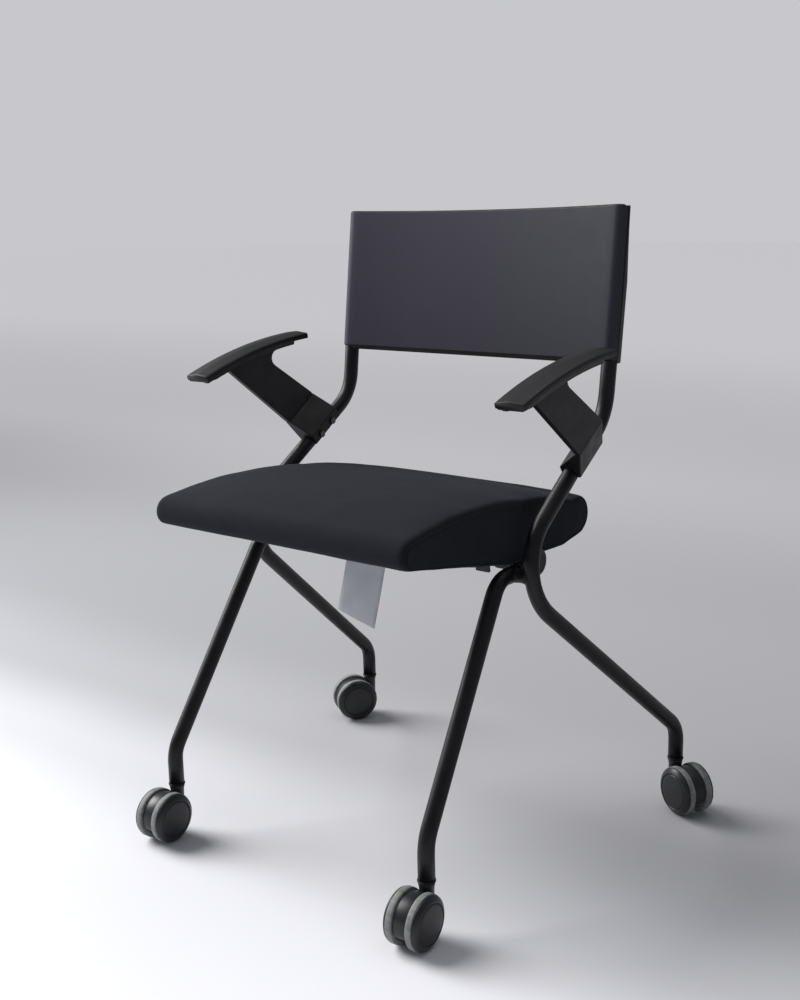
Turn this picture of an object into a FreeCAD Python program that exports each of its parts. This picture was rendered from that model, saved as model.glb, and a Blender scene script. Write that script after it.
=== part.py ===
"""Nesting chair on four twin-wheel casters, with a seat that tips up so that chairs push together.

Frame: origin on the floor, on the chair's plane of symmetry, midway between the front and rear
caster stems. +Z is up, the sitter faces -Y, and the sitter's left hand is on +X.
Everything is in millimetres. Left pieces are modelled, and right ones are their mirror image.
"""
import FreeCAD, Part
import math
import os

V = FreeCAD.Vector
UP = V(0, 0, 1)
ACROSS = V(1, 0, 0)

# clearances
RUN_GAP = 0.3           # between pieces that move past each other
SHAFT_GAP = 0.08        # round a shaft that turns in its hole
FIT_GAP = 0.1           # between pieces that are fixed to each other

# bent steel tubes
TUBE_R = 10.0
TUBE_WALL = 2.0
BEND_SLICE = 18.0       # degrees of a bend that one slice turns
SOCKET_LONG = 36.0      # depth of the open tube ends

# the seat's width drives all widths: lengths named OUT and IN are measured from the seat's side
SEAT_HALF_WIDTH = 202.0

# where the caster stems stand
STEM_Y = 232.5          # front and rear stems, either side of the origin
FRONT_STEM_OUT = 9.0
REAR_STEM_OUT = 73.0
TUBE_END_Z = 69.0

# side tube: rear leg, knee beside the seat, slanted run and back upright
REAR_BEND_Z = 112.5
KNEE_OUT = 22.7
KNEE_Y = -89.7
KNEE_Z = 385.6
SHOULDER_OUT = 12.0
SHOULDER_Y = 138.0
SHOULDER_Z = 545.0
UPRIGHT_LEAN = 7.1      # degrees that the back leans away from the sitter
UPRIGHT_SPLAY = 0.008   # how far the uprights spread, for each unit of height
REAR_BEND_R = 42.0
KNEE_R = 72.0
SHOULDER_R = 68.0

# front leg: bends back at the top and ends at the seat pivot
FRONT_BEND_Z = 114.0
HIP_IN = 6.0
HIP_Y = -70.0
HIP_Z = 376.0
FRONT_BEND_R = 60.0
HIP_R = 38.0
BRIDGE_DEEP = 16.0
BRIDGE_RISE = 1.5       # of the bridge over the front leg's top run

# seat pivot
PIVOT_Y = -1.0
PIVOT_RISE = 8.0        # of the pivot over the front leg's top run
KNUCKLE_R = 17.0
KNUCKLE_OUT = 6.0
KNUCKLE_WIDE = 23.0
KNUCKLE_END = 4.0
FLIP_ANGLE = 80.0

# seat
SEAT_FRONT_Y = -251.0
SEAT_BACK_Y = 127.0
SEAT_LIFT = 2.0         # of the seat's underside over the front legs' top runs
SEAT_THICK = 76.0
SEAT_CROWN = 9.0
SEAT_EDGE_R = 9.0
SIDE_DRAW_IN = 3.5
DRAW_IN_SHARE = 0.40    # of the seat's length, either way from the middle of a drawn-in side
PAN_INSET = 14.0
PAN_THICK = 12.0
PAN_CORNER_R = 30.0
NOSE_LOW = (0.022, 0.49)    # shares of the seat's length and thickness, see seat_profile
BASE_FRONT = 0.53
BASE_REAR = 0.85

# seat hinge blocks under the pan
BLOCK_IN = 52.0
BLOCK_WIDE = 26.0
BLOCK_R = 16.0
BLOCK_FLANGE = 5.0
BLOCK_REACH = 31.0
BUSH_WALL = 2.0
SCREW_R = 2.5
SCREW_HEAD_R = 5.0
SCREW_HEAD = 2.5
THREAD_PAST = 1.5       # how far a screw's end stands past the tube's wall
SHANK_SIDES = 12        # the shanks of screws and the casters' plugs are fine prisms

# seat stops
TAB_IN = 82.0
TAB_WIDE = 20.0
TAB_THICK = 4.0
TAB_REACH = 27.0
REST_PAD_LONG = 14.0
REST_PAD_WIDE = 16.0

# blank strip that hangs under the seat
TAG_X = -37.0
TAG_Y = -29.7
TAG_WIDE = 66.0
TAG_LONG = 122.0
TAG_TILT = 14.0
TAG_THICK = 0.5
TAG_DROP = 0.8          # of its top edge under the seat, so that it swings clear

# arms
PAD_OUT = 28.0
PAD_WIDE = 40.0
PAD_THICK = 9.0
PAD_FRONT_Y = -125.0
PAD_FRONT_Z = 596.0
PAD_MID_Y = -20.0
PAD_MID_Z = 626.5
PAD_BACK_Y = 83.0
PAD_BACK_Z = 638.5
BASE_THICK = 5.0
BASE_INSET = 2.0
BASE_SHORT = 38.0
BASE_NOSE = 1.5
PLATE_OUT = 34.0
PLATE_THICK = 8.0
PLATE_SLOPE = 35.0
PLATE_DEEP = 54.0
PLATE_FRONT_Y = -76.0
PLATE_IN_PAD = 12.0     # how far the plate's blank runs on past its front edge, up into the pad
CLAMP_LOW = 8.0         # along the slanted tube, from the point at CLAMP_Z
CLAMP_LONG = 62.0
CLAMP_Z = 480.0
CLAMP_RISE = 35.0       # from the tube's axis up to where the plate takes over
CLAMP_SKIRT = 5.0
CLAMP_WALL = 2.6
ARM_SCREW_STEP = 28.0

# back shell
SHELL_BOTTOM_Z = 609.5
SHELL_HIGH = 196.0
SHELL_THICK = 3.5
SHELL_HOLLOW = 22.0     # how far its middle lies behind its sides
LIP_DEEP = 9.0
HEM_DEEP = 7.0
SLEEVE_WALL = 2.2
SLEEVE_TOP_DEEP = 9.0
TUBE_IN_SLEEVE = 92.0
BACK_SCREW_UP = 30.0

# casters
WHEEL_R = 32.5
WHEEL_IN = 9.3          # inner and outer faces, from the caster's middle plane
WHEEL_OUT = 29.0
AXLE_R = 3.0
AXLE_HALF = 27.0
TRAIL = 26.0
WHEEL_SIDES = 48        # treads and fenders are fine polygons
HOOD_R = 30.0
HOOD_HALF = 8.7
HOOD_CLEAR = 20.0       # lower edge over the floor
NECK_HALF = 8.6
NECK_FOOT_Z = 38.0
STEM_R = 5.5
STEM_IN_HOOD = 24.0
COLLAR_R = 10.8
COLLAR_HIGH = 2.5
CASTERS = {             # name: side, end, and where its wheels trail to, in degrees from +X
    "front_left": (1, -1, 274.0),
    "front_right": (-1, -1, 273.0),
    "rear_left": (1, 1, 335.0),
    "rear_right": (-1, 1, 237.0),
}

FRONT_STEM_X = SEAT_HALF_WIDTH + FRONT_STEM_OUT
REAR_STEM_X = SEAT_HALF_WIDTH + REAR_STEM_OUT
KNEE = V(SEAT_HALF_WIDTH + KNEE_OUT, KNEE_Y, KNEE_Z)
SHOULDER = V(SEAT_HALF_WIDTH + SHOULDER_OUT, SHOULDER_Y, SHOULDER_Z)
HIP = V(SEAT_HALF_WIDTH - HIP_IN, HIP_Y, HIP_Z)
KNUCKLE_OUT_X = SEAT_HALF_WIDTH + KNUCKLE_OUT
KNUCKLE_IN_X = KNUCKLE_OUT_X - KNUCKLE_WIDE
BLOCK_X = SEAT_HALF_WIDTH - BLOCK_IN
TAB_X = SEAT_HALF_WIDTH - TAB_IN
PAD_IN_X = SEAT_HALF_WIDTH + PAD_OUT
PLATE_IN_X = SEAT_HALF_WIDTH + PLATE_OUT
PAD_FRONT = V(0, PAD_FRONT_Y, PAD_FRONT_Z)
PAD_MID = V(0, PAD_MID_Y, PAD_MID_Z)
PAD_BACK = V(0, PAD_BACK_Y, PAD_BACK_Z)
PIVOT_Z = HIP.z + PIVOT_RISE
SEAT_BASE_Z = HIP.z + TUBE_R + SEAT_LIFT
LEAN = math.radians(UPRIGHT_LEAN)


# helpers

def polygon(points):
    return Part.makePolygon(list(points) + [points[0]])


def prism(points, along):
    """Straight extrusion of a flat closed outline."""
    return Part.Face(polygon(points)).extrude(along)


def cylinder(radius, start, end):
    return Part.makeCylinder(radius, (end - start).Length, start, end - start)


def mirrored(shape):
    return shape.mirror(V(0, 0, 0), ACROSS)


def at_height(low, high, z):
    """Point at height z on the line from low to high."""
    return low + (high - low) * ((z - low.z) / (high.z - low.z))


def arc(a, b, c):
    return Part.Arc(a, b, c).toShape()


def line(a, b):
    return Part.LineSegment(a, b).toShape()


def circle_wire(centre, normal, start, radius):
    """Circle as two half turns, from a given side, so that neighbouring circles don't twist."""
    other = normal.cross(start)
    on = [centre + start * radius, centre + other * radius, centre - start * radius, centre - other * radius]
    return Part.Wire([arc(on[0], on[1], on[2]), arc(on[2], on[3], on[0])])


def bent_tube(points, radii, radius):
    """Round bar along straight runs and bends. Each bend is a fan of short tapered slices."""
    stops = [(points[0], (points[1] - points[0]).normalize())]
    for corner, after, bend in zip(points[1:-1], points[2:], radii):
        inward = stops[-1][1]
        onward = (after - corner).normalize()
        turn = inward.getAngle(onward)
        start = corner - inward * bend * math.tan(turn / 2)
        axis = inward.cross(onward).normalize()
        centre = start + axis.cross(inward) * bend
        slices = math.ceil(math.degrees(turn) / BEND_SLICE)
        for step in range(slices + 1):
            spin = FreeCAD.Rotation(axis, math.degrees(turn) * step / slices)
            stops.append((centre + spin.multVec(start - centre), spin.multVec(inward)))
    stops.append((points[-1], stops[-1][1]))
    start = ACROSS
    wires = []
    for at, heading in stops:
        start = (start - heading * start.dot(heading)).normalize()
        wires.append(circle_wire(at, heading, start, radius))
    return Part.makeLoft(wires, True, True)


def opened(bar, end, toward):
    """The bar made hollow along one straight end, where a caster's plug goes."""
    inward = (toward - end).normalize()
    return bar.cut(cylinder(TUBE_R - TUBE_WALL, end, end + inward * SOCKET_LONG))


def ring_of(sides, radius, centre, axis):
    """Corners of a regular polygon round an axis."""
    start = axis.cross(V(0, 1, 0) if abs(axis.y) < 0.5 else UP).normalize() * radius
    return [centre + FreeCAD.Rotation(axis, 360 * k / sides).multVec(start) for k in range(sides)]


def screw(at, into, length):
    """Hexagon-head screw: at is under its head, and it points along into."""
    head = prism(ring_of(6, SCREW_HEAD_R, at, into), into * -SCREW_HEAD)
    return prism(ring_of(SHANK_SIDES, SCREW_R, at, into), into * length).fuse(head)


# frame

UPRIGHT = V(UPRIGHT_SPLAY, math.tan(LEAN), 1).normalize()
SLEEVE_FOOT = SHOULDER + UPRIGHT * ((SHELL_BOTTOM_Z - SHOULDER.z) / UPRIGHT.z)
TUBE_TOP = SLEEVE_FOOT + UPRIGHT * TUBE_IN_SLEEVE


def side_tube_points():
    return [V(REAR_STEM_X, STEM_Y, TUBE_END_Z), V(REAR_STEM_X, STEM_Y, REAR_BEND_Z),
            KNEE, SHOULDER, TUBE_TOP]


def front_leg_points():
    return [V(FRONT_STEM_X, -STEM_Y, TUBE_END_Z), V(FRONT_STEM_X, -STEM_Y, FRONT_BEND_Z),
            HIP, V(HIP.x, PIVOT_Y, HIP.z)]


def side_tube(radius=TUBE_R):
    return bent_tube(side_tube_points(), [REAR_BEND_R, KNEE_R, SHOULDER_R], radius)


def front_leg(radius=TUBE_R):
    leg = bent_tube(front_leg_points(), [FRONT_BEND_R, HIP_R], radius)
    return leg.cut(pivot_cylinder(KNUCKLE_R, 0, KNUCKLE_OUT_X))


def pivot_cylinder(radius, x_from, x_to):
    """Cylinder about the seat's pivot axis."""
    return cylinder(radius, V(x_from, PIVOT_Y, PIVOT_Z), V(x_to, PIVOT_Y, PIVOT_Z))


def pivot_tube():
    end = KNUCKLE_OUT_X - KNUCKLE_END
    bar = pivot_cylinder(TUBE_R, -end, end)
    return bar.cut(pivot_cylinder(TUBE_R - TUBE_WALL, -end, end))


def knuckle():
    """Closed cup on the end of the pivot tube, welded to the end of the front leg."""
    cup = pivot_cylinder(KNUCKLE_R, KNUCKLE_IN_X, KNUCKLE_OUT_X)
    return cup.cut(pivot_cylinder(TUBE_R, 0, KNUCKLE_OUT_X - KNUCKLE_END))


def bridge_y():
    """Foremost point of the knee's centre line, where the bridge crosses to the front leg."""
    half_angle = (side_tube_points()[1] - KNEE).getAngle(SHOULDER - KNEE) / 2
    return KNEE.y + KNEE_R * (1 / math.sin(half_angle) - 1)


def leg_bridge():
    """Short square bar between the knee and the front leg's top run, shaped to both tubes."""
    corner = V(HIP.x, bridge_y() - BRIDGE_DEEP / 2, HIP.z + BRIDGE_RISE - BRIDGE_DEEP / 2)
    bar = Part.makeBox(KNEE.x - HIP.x, BRIDGE_DEEP, BRIDGE_DEEP, corner)
    bar = bar.cut([side_tube(), cylinder(TUBE_R, HIP, V(HIP.x, PIVOT_Y, HIP.z))])
    return max(bar.Solids, key=lambda solid: solid.Volume)


def stop_tabs():
    """Two lugs under the pivot tube that the seat's underside meets when it is tipped up."""
    flip = math.radians(FLIP_ANGLE)
    along = V(0, math.cos(flip), -math.sin(flip))
    off = V(0, math.sin(flip), math.cos(flip))
    face = SEAT_BASE_Z - PIVOT_Z - RUN_GAP
    tabs = []
    for x in (-TAB_X - TAB_WIDE / 2, TAB_X - TAB_WIDE / 2):
        pivot = V(x, PIVOT_Y, PIVOT_Z)
        outline = [pivot + off * face, pivot + along * TAB_REACH + off * face,
                   pivot + along * TAB_REACH + off * (face - TAB_THICK),
                   pivot + off * (face - TAB_THICK)]
        tab = prism(outline, ACROSS * TAB_WIDE)
        tabs.append(tab.cut(pivot_cylinder(TUBE_R, -TAB_X * 2, TAB_X * 2)))
    return Part.makeCompound([solid for tab in tabs for solid in tab.Solids if solid.BoundBox.ZMin < PIVOT_Z])


def rest_pad():
    """Rubber saddle on the front leg's top run, midway between the bridge and the knuckle."""
    middle = (bridge_y() + BRIDGE_DEEP / 2 + PIVOT_Y - KNUCKLE_R) / 2
    start = V(HIP.x, middle - REST_PAD_LONG / 2, HIP.z)
    end = V(HIP.x, middle + REST_PAD_LONG / 2, HIP.z)
    saddle = cylinder(TUBE_R + SEAT_LIFT - RUN_GAP, start, end).cut(cylinder(TUBE_R, start, end))
    corner = start - V(REST_PAD_WIDE / 2, 0, 0)
    return saddle.common(Part.makeBox(REST_PAD_WIDE, REST_PAD_LONG, 2 * TUBE_R, corner))


# seat

def seat_profile(x, shrink, crown):
    """Closed side view of the seat at x: waterfall nose, level base, rounded back."""
    length = SEAT_BACK_Y - SEAT_FRONT_Y

    def at(share_y, share_z, lift=0.0):
        y = SEAT_FRONT_Y + share_y * length
        z = SEAT_BASE_Z + share_z * SEAT_THICK
        middle_y = (SEAT_FRONT_Y + SEAT_BACK_Y) / 2
        middle_z = SEAT_BASE_Z + SEAT_THICK / 2
        y += (middle_y - y) * 2 * shrink / length
        z += (middle_z - z) * 2 * shrink / SEAT_THICK
        return V(x, y, z + lift * crown)

    nose_low, nose_mid, nose_top = at(*NOSE_LOW), at(0, 0.72), at(0.035, 0.93, 0.3)
    top_mid, top_rear = at(0.30, 1.07, 1.0), at(0.66, 0.97, 1.0)
    rear_mid, rear_top = at(0.79, 0.89, 0.8), at(0.905, 0.75, 0.4)
    back_mid, back_low = at(1, 0.40), at(0.965, 0.14)
    base_rear, base_front = at(BASE_REAR, 0), at(BASE_FRONT, 0)
    edges = [arc(nose_low, nose_mid, nose_top), arc(nose_top, top_mid, top_rear),
             arc(top_rear, rear_mid, rear_top), arc(rear_top, back_mid, back_low),
             line(back_low, base_rear), line(base_rear, base_front), line(base_front, nose_low)]
    return Part.Wire(edges)


def seat_body():
    """Crowned block, rounded at its long edges, with sides that draw in between the corners."""
    round_from = SEAT_HALF_WIDTH - SEAT_EDGE_R
    half = [0.5 * round_from, round_from]
    half += [round_from + SEAT_EDGE_R * math.sin(math.radians(turn)) for turn in (45, 90)]
    stations = [-x for x in reversed(half)] + [0.0] + half
    wires = []
    for x in stations:
        into_round = max(0.0, abs(x) - round_from) / SEAT_EDGE_R
        shrink = SEAT_EDGE_R * (1 - math.sqrt(max(0.0, 1 - into_round ** 2)))
        crown = SEAT_CROWN * (1 - (x / SEAT_HALF_WIDTH) ** 2)
        wires.append(seat_profile(x, shrink, crown))
    body = Part.makeLoft(wires, True, True)
    reach = DRAW_IN_SHARE * (SEAT_BACK_Y - SEAT_FRONT_Y)
    hollow_r = (reach ** 2 + SIDE_DRAW_IN ** 2) / (2 * SIDE_DRAW_IN)
    middle_y = (SEAT_BACK_Y + SEAT_FRONT_Y) / 2
    for side in (1, -1):
        x = side * (SEAT_HALF_WIDTH - SIDE_DRAW_IN + hollow_r)
        body = body.cut(Part.makeCylinder(hollow_r, 4 * SEAT_THICK, V(x, middle_y, SEAT_BASE_Z - SEAT_THICK)))
    return body


def seat_pan():
    """Moulded board under the cushion, with a channel for the pivot tube."""
    length = SEAT_BACK_Y - SEAT_FRONT_Y
    half = SEAT_HALF_WIDTH - PAN_INSET
    base_front = SEAT_FRONT_Y + BASE_FRONT * length
    base_rear = SEAT_FRONT_Y + BASE_REAR * length
    slope = NOSE_LOW[1] * SEAT_THICK / ((BASE_FRONT - NOSE_LOW[0]) * length)
    front = SEAT_FRONT_Y + 2.2 * PAN_INSET
    rise = (base_front - front) * slope
    side = [V(-half, front, SEAT_BASE_Z + rise), V(-half, base_front, SEAT_BASE_Z),
            V(-half, base_rear, SEAT_BASE_Z), V(-half, base_rear, SEAT_BASE_Z + PAN_THICK),
            V(-half, base_front, SEAT_BASE_Z + PAN_THICK), V(-half, front, SEAT_BASE_Z + rise + PAN_THICK)]
    pan = prism(side, ACROSS * (2 * half))
    corners = [edge for edge in pan.Edges
               if edge.Length < 2 * PAN_THICK and edge.BoundBox.XLength < 1 and edge.BoundBox.YLength < 1
               and abs(edge.BoundBox.YMin - base_front) > 1]
    return pan.makeFillet(PAN_CORNER_R, corners)


def pivot_room():
    """Space that the pivot tube and the two knuckles need in the seat at every angle."""
    reach = SEAT_HALF_WIDTH + PAN_INSET
    room = pivot_cylinder(TUBE_R + 1.0, -reach, reach)
    start = KNUCKLE_IN_X - 1.0
    for side in (1, -1):
        room = room.fuse(pivot_cylinder(KNUCKLE_R + 0.8, side * start, side * reach))
    return room


def hinge_block():
    """Bearing block under the pan: a flange with two screws and a round eye."""
    x = BLOCK_X
    flange = prism([V(x, PIVOT_Y - BLOCK_REACH, SEAT_BASE_Z), V(x, PIVOT_Y + BLOCK_REACH, SEAT_BASE_Z),
                    V(x, PIVOT_Y + BLOCK_REACH, SEAT_BASE_Z - BLOCK_FLANGE),
                    V(x, PIVOT_Y - BLOCK_REACH, SEAT_BASE_Z - BLOCK_FLANGE)], ACROSS * BLOCK_WIDE)
    block = flange.fuse(pivot_cylinder(BLOCK_R, x, x + BLOCK_WIDE))
    above = Part.makeBox(BLOCK_WIDE, 4 * BLOCK_R, 2 * BLOCK_R, V(x, PIVOT_Y - 2 * BLOCK_R, SEAT_BASE_Z))
    block = block.cut([above, pivot_cylinder(TUBE_R + SHAFT_GAP + BUSH_WALL, x, x + BLOCK_WIDE)])
    return block.cut(hinge_screws_left()).removeSplitter()


def hinge_bush():
    bush = pivot_cylinder(TUBE_R + SHAFT_GAP + BUSH_WALL, BLOCK_X, BLOCK_X + BLOCK_WIDE)
    bush = bush.cut(pivot_cylinder(TUBE_R + SHAFT_GAP, BLOCK_X, BLOCK_X + BLOCK_WIDE))
    above = Part.makeBox(BLOCK_WIDE, 4 * BLOCK_R, 2 * BLOCK_R, V(BLOCK_X, PIVOT_Y - 2 * BLOCK_R, SEAT_BASE_Z))
    return bush.cut(above)


def hinge_screws_left():
    """Screws through the flange. Their ends cut their own thread in the pan."""
    at_y = (BLOCK_REACH + BLOCK_R) / 2 + 1.0
    return [screw(V(BLOCK_X + BLOCK_WIDE / 2, PIVOT_Y + side * at_y, SEAT_BASE_Z - BLOCK_FLANGE), UP,
                  BLOCK_FLANGE + PAN_THICK / 2) for side in (1, -1)]


def tag():
    """Blank strip: its top edge hangs level under the seat, and it leans to one side."""
    top_z = SEAT_BASE_Z - TAG_DROP
    tilt = math.radians(TAG_TILT)
    down = V(-math.sin(tilt), 0, -math.cos(tilt))
    across = V(math.cos(tilt), 0, -math.sin(tilt))
    half = TAG_WIDE / 2
    foot = V(TAG_X, TAG_Y, top_z) + down * TAG_LONG
    top_half = half / math.cos(tilt)
    outline = [V(TAG_X - top_half, TAG_Y, top_z), V(TAG_X + top_half, TAG_Y, top_z),
               foot + across * half, foot - across * half]
    return prism(outline, V(0, TAG_THICK, 0))


# arms

def pad_arc(offset, shorten=0.0):
    """The pad's top line in side view, moved down by offset, as start, middle and end points."""
    circle = arc(PAD_FRONT, PAD_MID, PAD_BACK).Curve
    centre, radius = circle.Center, circle.Radius - offset
    points = []
    for point, along in ((PAD_FRONT, 0.0), (PAD_MID, 0.0), (PAD_BACK, shorten)):
        out = (point - centre).normalize()
        angle = math.atan2(out.z, out.y) + along / radius
        points.append(V(0, centre.y + radius * math.cos(angle), centre.z + radius * math.sin(angle)))
    return points


def arched_strip(top, bottom, x_from, wide):
    """Strip between two arcs given as three points each, extruded across the chair."""
    wire = Part.Wire([arc(*top), line(top[2], bottom[2]), arc(*bottom[::-1]), line(bottom[0], top[0])])
    strip = Part.Face(wire).extrude(ACROSS * wide)
    strip.translate(ACROSS * x_from)
    return strip


def arm_pad():
    return arched_strip(pad_arc(0), pad_arc(PAD_THICK), PAD_IN_X, PAD_WIDE)


def tube_frame():
    """Point on the slanted tube at the clamp, the tube's direction, and up square to it."""
    start = at_height(KNEE, SHOULDER, CLAMP_Z)
    along = (SHOULDER - KNEE).normalize()
    up = ACROSS.cross(along).normalize()
    return start, along, up


def arm_plate():
    """Slanted upright plate from the saddle's top, forward and up into the pad."""
    foot, along = saddle_point(PLATE_IN_X, CLAMP_RISE), clamp_run()
    slope = math.radians(PLATE_SLOPE)
    down = V(0, math.cos(slope), -math.sin(slope))
    square = V(0, math.sin(slope), math.cos(slope))
    head = foot - down * ((foot.y - PLATE_FRONT_Y) / down.y + PLATE_IN_PAD)
    plate = prism([foot, foot + along, head + square * PLATE_DEEP, head], ACROSS * PLATE_THICK)
    above = arched_strip(pad_arc(-2 * PAD_WIDE), pad_arc(PAD_THICK), PLATE_IN_X - 1, PLATE_THICK + 2)
    return plate.cut(above)


def saddle_point(x, height):
    """Point in the plane of the saddle's lower end, at a height square to the slanted tube."""
    start, along, up = tube_frame()
    return V(x, start.y + along.y * CLAMP_LOW + up.y * height, start.z + along.z * CLAMP_LOW + up.z * height)


def clamp_run():
    """From the saddle's lower end to its upper end, in the plane of the arm."""
    along = tube_frame()[1]
    return V(0, along.y, along.z) * CLAMP_LONG


def arm_bracket():
    """Moulded arm: base under the pad, slanted plate, and a facetted saddle over the tube."""
    start, along, _ = tube_frame()
    top = pad_arc(PAD_THICK, BASE_SHORT)
    bottom = pad_arc(PAD_THICK + BASE_THICK, BASE_SHORT)
    bottom[0] = top[0] - UP * BASE_NOSE
    base = arched_strip(top, bottom, PAD_IN_X + BASE_INSET, PAD_WIDE - 2 * BASE_INSET)
    outer = start.x + TUBE_R + CLAMP_WALL
    inner = start.x - TUBE_R - CLAMP_WALL
    saddle = prism([saddle_point(PLATE_IN_X + PLATE_THICK, CLAMP_RISE), saddle_point(outer, -CLAMP_SKIRT),
                    saddle_point(inner, -CLAMP_SKIRT), saddle_point(inner, TUBE_R),
                    saddle_point(PLATE_IN_X, CLAMP_RISE)], clamp_run())
    bracket = arm_plate().fuse([saddle, base]).removeSplitter()
    reach = along * CLAMP_LONG * 2
    bore = cylinder(TUBE_R + FIT_GAP, start - reach, start + reach)
    return bracket.cut([bore] + arm_screws_left())


def arm_screws_left():
    """Screws through the saddle's inner wall. Their ends cut their own thread in the tube."""
    start, along, _ = tube_frame()
    inner = start.x - TUBE_R - CLAMP_WALL
    screws = []
    for side in (-0.5, 0.5):
        at = start + along * (CLAMP_LOW + CLAMP_LONG / 2 + side * ARM_SCREW_STEP)
        screws.append(screw(V(inner, at.y, at.z), ACROSS, CLAMP_WALL + TUBE_WALL + THREAD_PAST))
    return screws


# back

def back_shell():
    """Thin hollowed panel with a rolled top lip and bottom hem, and a sleeve over each upright."""
    half = SLEEVE_FOOT.x
    hollow_r = (half ** 2 + SHELL_HOLLOW ** 2) / (2 * SHELL_HOLLOW)
    up = V(0, math.sin(LEAN), math.cos(LEAN))
    back = V(0, math.cos(LEAN), -math.sin(LEAN))
    foot = V(0, SLEEVE_FOOT.y - TUBE_R, SHELL_BOTTOM_Z) + back * (SHELL_HOLLOW + 2.0)
    hem = HEM_DEEP * 0.7
    outline = [foot + back * hem, foot + up * hem, foot + up * SHELL_HIGH,
               foot + up * SHELL_HIGH + back * LIP_DEEP,
               foot + up * (SHELL_HIGH - SHELL_THICK * 0.8) + back * LIP_DEEP,
               foot + up * (SHELL_HIGH - SHELL_THICK * 1.4) + back * SHELL_THICK,
               foot + up * (hem + SHELL_THICK * 0.4) + back * SHELL_THICK,
               foot + back * (hem + SHELL_THICK * 0.8) + up * SHELL_THICK * 0.4]
    angle = math.degrees(math.asin(half / hollow_r))
    centre = foot - back * hollow_r
    section = Part.Face(polygon(outline))
    panel = section.revolve(centre, up, angle).fuse(section.revolve(centre, up, -angle))
    panel = panel.removeSplitter()

    sleeves = [sleeve(), mirrored(sleeve())]
    shell = panel.fuse(sleeves)
    bores = [side_tube(TUBE_R + FIT_GAP)]
    bores.append(mirrored(bores[0]))
    screws = back_screws_left()
    return shell.cut(bores + screws + [mirrored(one) for one in screws]).removeSplitter()


def sleeve():
    """Cover over one upright: as deep as the tube at the seam, thin at the top."""
    outer = TUBE_R + SLEEVE_WALL
    top = SLEEVE_FOOT + UPRIGHT * (SHELL_HIGH / math.cos(LEAN) - 2.0)

    def section(centre, front, back, half):
        round_in, round_out = half * 0.55, half * 0.45
        wire = polygon([centre + V(-half, -front + round_in, 0), centre + V(-round_in, -front, 0),
                        centre + V(round_out, -front, 0), centre + V(half, -front + round_in, 0),
                        centre + V(half, back - round_in, 0), centre + V(round_out, back, 0),
                        centre + V(-round_in, back, 0), centre + V(-half, back - round_in, 0)])
        return wire

    mid = SLEEVE_FOOT + UPRIGHT * (TUBE_IN_SLEEVE + 6)
    wires = [section(SLEEVE_FOOT, outer, outer, outer), section(mid, outer, outer, outer * 0.95),
             section(top, SLEEVE_TOP_DEEP / 2, SLEEVE_TOP_DEEP / 2 + 4, outer * 0.75)]
    return Part.makeLoft(wires, True, True)


def back_screws_left():
    at = SLEEVE_FOOT + UPRIGHT * BACK_SCREW_UP
    into = V(0, -1, 0)
    return [screw(at - into * (TUBE_R + SLEEVE_WALL), into, SLEEVE_WALL + TUBE_WALL + THREAD_PAST)]


# casters, in their own frame: stem on the Z axis, wheels trailing towards +X

def caster_wheel(side):
    rim = ring_of(WHEEL_SIDES, WHEEL_R, V(TRAIL, side * WHEEL_IN, WHEEL_R), V(0, 1, 0))
    bore = cylinder(AXLE_R + SHAFT_GAP, V(TRAIL, -WHEEL_OUT, WHEEL_R), V(TRAIL, WHEEL_OUT, WHEEL_R))
    return prism(rim, V(0, side * (WHEEL_OUT - WHEEL_IN), 0)).cut(bore)


def caster_axle():
    return cylinder(AXLE_R, V(TRAIL, -AXLE_HALF, WHEEL_R), V(TRAIL, AXLE_HALF, WHEEL_R))


def caster_stem():
    """Plug in the tube's end, a collar under it, and the pin that the caster turns on."""
    collar = TUBE_END_Z - COLLAR_HIGH
    plug = prism(ring_of(SHANK_SIDES, TUBE_R - TUBE_WALL, V(0, 0, TUBE_END_Z), UP), UP * SOCKET_LONG)
    pin = cylinder(STEM_R, V(0, 0, collar - RUN_GAP - STEM_IN_HOOD), V(0, 0, collar))
    return plug.fuse([cylinder(COLLAR_R, V(0, 0, collar), V(0, 0, TUBE_END_Z)), pin]).removeSplitter()


def caster_hood():
    """Web between the two wheels: a round fender outline with a neck for the stem."""
    neck_top = TUBE_END_Z - COLLAR_HIGH - RUN_GAP
    hub = V(TRAIL, 0, WHEEL_R)

    start = math.acos((NECK_HALF - hub.x) / HOOD_R)
    tail = -math.asin((hub.z - HOOD_CLEAR) / HOOD_R)
    steps = math.ceil(WHEEL_SIDES * (start - tail) / (2 * math.pi))
    fender = []
    for step in range(steps + 1):
        turn = start + (tail - start) * step / steps
        fender.append(hub + V(HOOD_R * math.cos(turn), 0, HOOD_R * math.sin(turn)))
    chin = V(2 * hub.x - fender[-1].x, 0, HOOD_CLEAR)
    nape = V(-NECK_HALF, 0, NECK_FOOT_Z)
    web = prism(fender + [chin, nape, V(-NECK_HALF, 0, neck_top), V(NECK_HALF, 0, neck_top)],
                V(0, 2 * HOOD_HALF, 0))
    web.translate(V(0, -HOOD_HALF, 0))
    pin_hole = cylinder(STEM_R + SHAFT_GAP, V(0, 0, neck_top - STEM_IN_HOOD - RUN_GAP), V(0, 0, neck_top))
    return web.cut([caster_axle(), pin_hole])


def placed(shape, side, end, trail_angle):
    """Caster piece turned to its trail angle and moved to its stem."""
    shape = shape.copy()
    shape.rotate(V(0, 0, 0), UP, trail_angle)
    shape.translate(V(side * (FRONT_STEM_X if end < 0 else REAR_STEM_X), end * STEM_Y, 0))
    return shape


# assembly

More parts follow.
